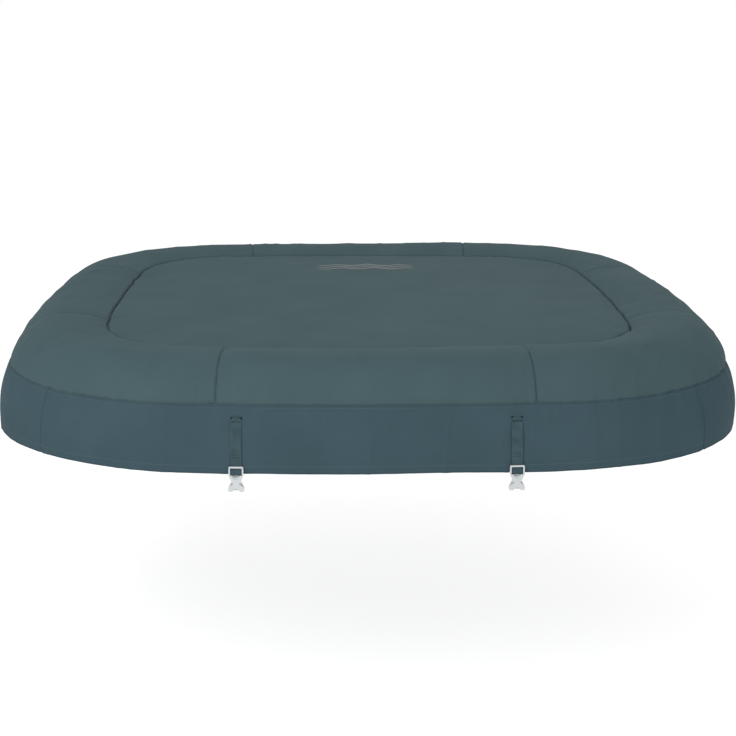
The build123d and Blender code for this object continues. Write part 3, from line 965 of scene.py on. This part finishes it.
# ---- lining, zip and valve ----
def build_lining():
    """The flat underside, cut out for the zip and the valve."""
    distance = all_round(720)
    x, y, _ = plan(distance, LINING_INSET)
    outer = np.stack([x, y], -1)
    gap_x = np.linspace(-ZIP_HALF, ZIP_HALF, 105)
    low, high = ZIP_Y - ZIP_GAP, ZIP_Y + ZIP_GAP
    gap = np.concatenate([np.stack([gap_x, np.full_like(gap_x, low)], -1),
                          np.stack([gap_x[::-1], np.full_like(gap_x, high)], -1)])
    round_angles = np.linspace(0, 2 * pi, 48, endpoint=False)
    circle = np.stack([np.cos(round_angles), np.sin(round_angles)], -1)
    hole = np.asarray(VALVE)[:2] + VALVE_HOLE * circle
    gx, gy = np.meshgrid(np.arange(-0.98, 0.981, 0.0125), np.arange(-0.98, 0.981, 0.0125))
    inner = np.stack([gx.ravel(), gy.ravel()], -1) + draws.uniform(-0.002, 0.002, (gx.size, 2))
    inside = inside_plan(inner, LINING_INSET + 0.007)
    off_gap = (np.abs(inner[:, 1] - ZIP_Y) > 0.012) | (np.abs(inner[:, 0]) > ZIP_HALF + 0.006)
    off_hole = np.hypot(inner[:, 0] - VALVE[0], inner[:, 1] - VALVE[1]) > 0.024
    inner = inner[inside & off_gap & off_hole]
    loops = (outer, gap, hole)
    vertices, edges = [], []
    for loop in loops:
        base = sum(len(v) for v in vertices)
        edges += [(base + k, base + (k + 1) % len(loop)) for k in range(len(loop))]
        vertices.append(loop)
    vertices.append(inner)
    flat = [Vector(p) for p in np.concatenate(vertices).tolist()]
    found, _, triangles, _, _, _ = delaunay_2d_cdt(flat, edges, [], 0, 1e-7)
    p = np.array([tuple(v) for v in found])
    t = np.array([list(f) for f in triangles])
    middle = p[t].mean(1)
    keep = inside_plan(middle, LINING_INSET)
    keep &= ~((np.abs(middle[:, 1] - ZIP_Y) < ZIP_GAP) & (np.abs(middle[:, 0]) < ZIP_HALF))
    keep &= np.hypot(middle[:, 0] - VALVE[0], middle[:, 1] - VALVE[1]) > VALVE_HOLE * 0.99
    spot = np.column_stack([p, np.zeros(len(p))])
    calm = 1 - fall(np.abs(p[:, 1] - ZIP_Y), 0.03) * (np.abs(p[:, 0]) < ZIP_HALF + 0.02)
    calm = calm * (1 - fall(np.hypot(p[:, 0] - VALVE[0], p[:, 1] - VALVE[1]), 0.045))
    spot[:, 2] = 0.0007 + calm * (0.0020 * noise(spot, 0.14, 81) + 0.0012 * noise(spot, 0.05, 82))
    piece = make_mesh("lining_cloth", spot, t[keep][:, ::-1])
    thicken(piece, 0.0012, 0)
    finish_piece(piece, FOIL)
    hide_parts("lining_sheet")


def inside_plan(points, inset):
    """Which points lie at least this far inside the outer seam."""
    x, y = np.abs(points[:, 0]), np.abs(points[:, 1])
    in_corner = (x > CORNER_CENTRE) & (y > CORNER_CENTRE)
    corner = CORNER_RADIUS - np.hypot(x - CORNER_CENTRE, y - CORNER_CENTRE)
    side_y = SIDE_RADIUS - np.hypot(x, y + SIDE_CENTRE)
    side_x = SIDE_RADIUS - np.hypot(x + SIDE_CENTRE, y)
    depth = np.where(in_corner, np.minimum(corner, np.minimum(side_x, side_y)), np.minimum(side_x, side_y))
    return depth > inset - 1e-9


def build_zip():
    for way, hand in ((-1, "near"), (1, "far")):
        x = np.linspace(-ZIP_HALF, ZIP_HALF, 260)
        across = np.concatenate([np.linspace(0.0030, 0.0045, 4), np.linspace(0.006, 0.0192, 9)])
        gx, ga = np.meshgrid(x, across)
        spot = np.stack([gx, ZIP_Y + way * ga, 0 * gx + ZIP_Z], -1)
        bead = 0.0003 * fall(ga - 0.0030, 0.0008)
        spot[..., 2] = ZIP_Z + bead + 0.00025 * noise(spot, 0.03, 84)
        tape = make_mesh(f"zip_tape_{hand}", spot, grid_faces(len(across), len(x), flip=way < 0))
        thicken(tape, 0.0008, 0)
        finish_piece(tape, TAPE)
        line = [(v, ZIP_Y + way * 0.0105, -0.0002) for v in np.linspace(-ZIP_HALF, ZIP_HALF, 200)]
        down = np.tile([0.0, 0.0, -1.0], (len(line), 1))
        stitches(f"zip_stitching_{hand}", [(line, down)], THREAD)
        coil = zip_coil(f"zip_coil_{hand}", way)
        if way < 0:
            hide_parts("zip_tapes")
            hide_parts("zip_teeth")
    for name in ("zip_slider", "zip_pull"):
        bevelled(name, 0.00035, METAL)
    bevelled("zip_end_stops", 0.00035, TEETH)


def zip_coil(name, way):
    """One row of a nylon coil: a wire wound along the tape's edge."""
    pitch = 0.0019
    turns = int(2 * (ZIP_HALF - 0.006) / pitch)
    t = np.linspace(0, turns, turns * 10 + 1)
    centre = ZIP_Y + way * 0.0021
    x = -ZIP_HALF + 0.006 + t * pitch + (0.5 * pitch if way > 0 else 0)
    path = np.stack([x, centre + way * 0.0011 * np.cos(2 * pi * t), ZIP_Z + 0.0009 * np.sin(2 * pi * t)], -1)
    ahead = np.gradient(path, axis=0)
    ahead = ahead / np.linalg.norm(ahead, axis=1, keepdims=True)
    side = np.cross(ahead, [1.0, 0.0, 0.0])
    side = side / np.linalg.norm(side, axis=1, keepdims=True)
    other = np.cross(ahead, side)
    rows = []
    for angle in np.linspace(0, 2 * pi, 5, endpoint=False):
        rows.append(path + 0.0003 * (cos(angle) * side + sin(angle) * other))
    piece = make_mesh(name, np.stack(rows, 1), grid_faces(len(path), 5, closed=True))
    return finish_piece(piece, TEETH)


def build_valve():
    for name in ("lid_valve_body", "lid_valve_plug"):
        bevelled(name, 0.0006, VALVE_PLASTIC)


# ---- lid ----
PAD_INSET = 0.040
PAD_BOTTOM = 0.007
PAD_TOP = 0.065
BEAMS = [(k - 3) * 0.2 for k in range(7)]


def beam_furrow(x, y):
    """How far the film is drawn in where a tension beam holds it."""
    near = np.min(np.abs(np.stack([y - b for b in BEAMS])), axis=0)
    return fall(near, 0.016) * (1 / (1 + np.exp((np.abs(x) - 0.79) / 0.012)))


def build_lid():
    """The inflatable lid as one closed pad, drawn in along its tension beams."""
    distance = all_round(500)
    side = np.linspace(0, pi / 2, 9)
    rows = [(PAD_INSET + 0.012, PAD_BOTTOM), (PAD_INSET + 0.003, PAD_BOTTOM + 0.003)]
    rows.append((PAD_INSET, PAD_BOTTOM + 0.010))
    rows += [(PAD_INSET + 0.030 * (1 - cos(a)), PAD_TOP - 0.030 + 0.030 * sin(a)) for a in side]
    vertices = [seam_points(distance, inset, height) for inset, height in rows]
    for share in np.linspace(0.98, 0.03, 60):
        vertices.append(seam_points(distance, rows[-1][0], PAD_TOP) * (share, share, 1))
    grid = np.stack(vertices)
    top = grid[..., 2] > PAD_TOP - 0.012
    furrow = beam_furrow(grid[..., 0], grid[..., 1])
    grid[..., 2] -= np.where(top, 0.007 * furrow, 0)
    columns = len(distance)
    flat = grid.reshape(-1, 3)
    faces = grid_faces(len(grid), columns, closed=True).tolist()
    last = (len(grid) - 1) * columns
    faces += fan(last, columns, len(flat))
    base = len(flat) + 1
    foot = seam_points(distance, rows[0][0], PAD_BOTTOM)
    lower = np.stack([foot * (share, share, 1) for share in np.linspace(0.97, 0.03, 40)])
    lower[..., 2] += 0.004 * beam_furrow(lower[..., 0], lower[..., 1])
    faces += grid_faces(len(lower), columns, closed=True, flip=True, start=base).tolist()
    faces += [[(k + 1) % columns, k, base + k, base + (k + 1) % columns] for k in range(columns)]
    end = base + (len(lower) - 1) * columns
    middle = base + lower.shape[0] * columns
    faces += [[end + (k + 1) % columns, end + k, middle] for k in range(columns)]
    top_middle, bottom_middle = [[0, 0, PAD_TOP - 0.007]], [[0, 0, PAD_BOTTOM + 0.004]]
    points = np.concatenate([flat, top_middle, lower.reshape(-1, 3), bottom_middle])
    piece = make_mesh("lid_pad", points, faces)
    finish_piece(piece, FILM)
    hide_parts("lid_top_film", "lid_bottom_film")
    for index, y in enumerate(BEAMS):
        x = np.linspace(-0.785, 0.785, 200)
        z = np.linspace(PAD_BOTTOM + 0.0045, PAD_TOP - 0.0075, 12)
        gx, gz = np.meshgrid(x, z)
        spot = np.stack([gx, y + 0 * gx, gz], -1)
        spot[..., 1] += 0.0012 * noise(spot, 0.05, 87)
        web = make_mesh(f"tension_beam_{index}", spot, grid_faces(len(z), len(x)))
        thicken(web, 0.0005, 0)
        finish_piece(web, FILM)
        if index == 0:
            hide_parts("lid_tension_beams")


# ---- printed mark ----
PRINT_PLACE = (0.013, 0.437)


def build_print():
    """Three printed wave lines on the centre panel, near its back edge."""
    vertices, faces = [], []
    for row in range(3):
        x = np.linspace(-0.16, 0.16, 240)
        wave = 0.012 * np.sin(x * 2 * pi / 0.107 + row * 0.5)
        taper = np.sqrt(np.clip(1 - (np.abs(x) / 0.161) ** 4, 0, 1))
        half = 0.0085 * taper + 0.0006
        base = sum(len(v) for v in vertices)
        rows = []
        for side in np.linspace(-1, 1, 7):
            px = x + PRINT_PLACE[0]
            py = PRINT_PLACE[1] + (row - 1) * 0.036 + wave + side * half
            rows.append(np.stack([px, py, centre_height(px, py) + 0.0004], -1))
        vertices.append(np.stack(rows).reshape(-1, 3))
        faces += grid_faces(7, len(x), start=base).tolist()
    piece = make_mesh("printed_waves", np.concatenate(vertices), faces)
    thicken(piece, 0.0002, 1)
    finish_piece(piece, INK)


def centre_height(x, y):
    """Height of the centre panel well inside its seam."""
    reach = HALF - INNER_INSET
    distance = all_round(4000)
    px, py, _ = plan(distance, INNER_INSET)
    angles = np.unwrap(np.arctan2(py, px))
    wanted = np.arctan2(y, x)
    wanted = np.where(wanted < angles[0], wanted + 2 * pi, wanted)
    edge = np.interp(wanted, angles, np.hypot(px, py))
    away = (1 - np.hypot(x, y) / edge) * reach
    points = np.stack([x, y, INNER_HEIGHT + 0 * x], -1)
    return centre_surface(away) + soft_lumps(points, 9) * 0.55 * (1 - fall(away, 0.03))


# ---- stage ----
FLOOR_Z = -0.9
STUDIO_RADIUS = 28
WALL_TOP = 12


def glowing(piece, albedo, glow):
    """Make this a pale, slightly shining surface of the studio."""
    material, _, shader = new_material(piece.name, (albedo, albedo, albedo), 0.9)
    shader.inputs["Emission Color"].default_value = (1, 1, 1, 1)
    shader.inputs["Emission Strength"].default_value = glow
    shader.inputs["Specular IOR Level"].default_value = 0
    piece.data.materials.append(material)


def build_floor():
    half = STUDIO_RADIUS + 1
    corners = [(-half, -half), (half, -half), (half, half), (-half, half)]
    floor = make_mesh("floor", [(x, y, FLOOR_Z) for x, y in corners], [[0, 1, 2, 3]])
    glowing(floor, 0.45, 0.66)


def build_backdrop():
    """A round pale wall a long way off, the same from every side."""
    angles = np.linspace(0, 2 * pi, 96, endpoint=False)
    x, y = STUDIO_RADIUS * np.cos(angles), STUDIO_RADIUS * np.sin(angles)
    rows = np.stack([np.stack([x, y, height + 0 * x], -1) for height in (FLOOR_Z, WALL_TOP)])
    wall = make_mesh("backdrop", rows, grid_faces(2, len(angles), closed=True, flip=True))
    glowing(wall, 0.0, 1.0)


def build_stage():
    scene = bpy.context.scene
    scene.view_settings.view_transform = "Standard"
    build_floor()
    build_backdrop()
    world = bpy.data.worlds.new("studio")
    scene.world = world
    world.use_nodes = True
    world.node_tree.nodes["Background"].inputs["Color"].default_value = (1, 1, 1, 1)
    world.node_tree.nodes["Background"].inputs["Strength"].default_value = 0.82
    for name, place, aim, size, power in (
        ("key", (-2.0, -3.6, 2.6), (0, -0.4, 0), 1.4, 75),
        ("back", (0.8, 3.2, 2.4), (0, 0.2, 0), 1.6, 12),
    ):
        lamp = bpy.data.lights.new(name, "AREA")
        lamp.energy = power
        lamp.size = size
        light = bpy.data.objects.new(name, lamp)
        light.location = place
        light.rotation_euler = (Vector(aim) - Vector(place)).to_track_quat("-Z", "Y").to_euler()
        scene.collection.objects.link(light)


def build_camera():
    yaw, pitch, roll = 0.0327, 0.2384, 0.0047
    x, y = turn(0.0105, -4.3667, -yaw)
    data = bpy.data.cameras.new("camera")
    data.sensor_width = 36
    data.lens = 71.803
    camera = bpy.data.objects.new("camera", data)
    aim = Euler((pi / 2 - pitch, 0, -yaw)).to_matrix() @ Matrix.Rotation(roll, 3, "Z")
    camera.matrix_world = Matrix.Translation((x, y, 0.9129)) @ aim.to_4x4()
    bpy.context.scene.collection.objects.link(camera)
    bpy.context.scene.camera = camera


build_lid()
build_centre()
build_ring()
build_skirt()
build_hem()
build_stitching()
build_straps()
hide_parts("strap_sewn_tabs")
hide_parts("strap_backing_patches")
build_lining()
build_zip()
build_valve()
build_print()
build_stage()
build_camera()
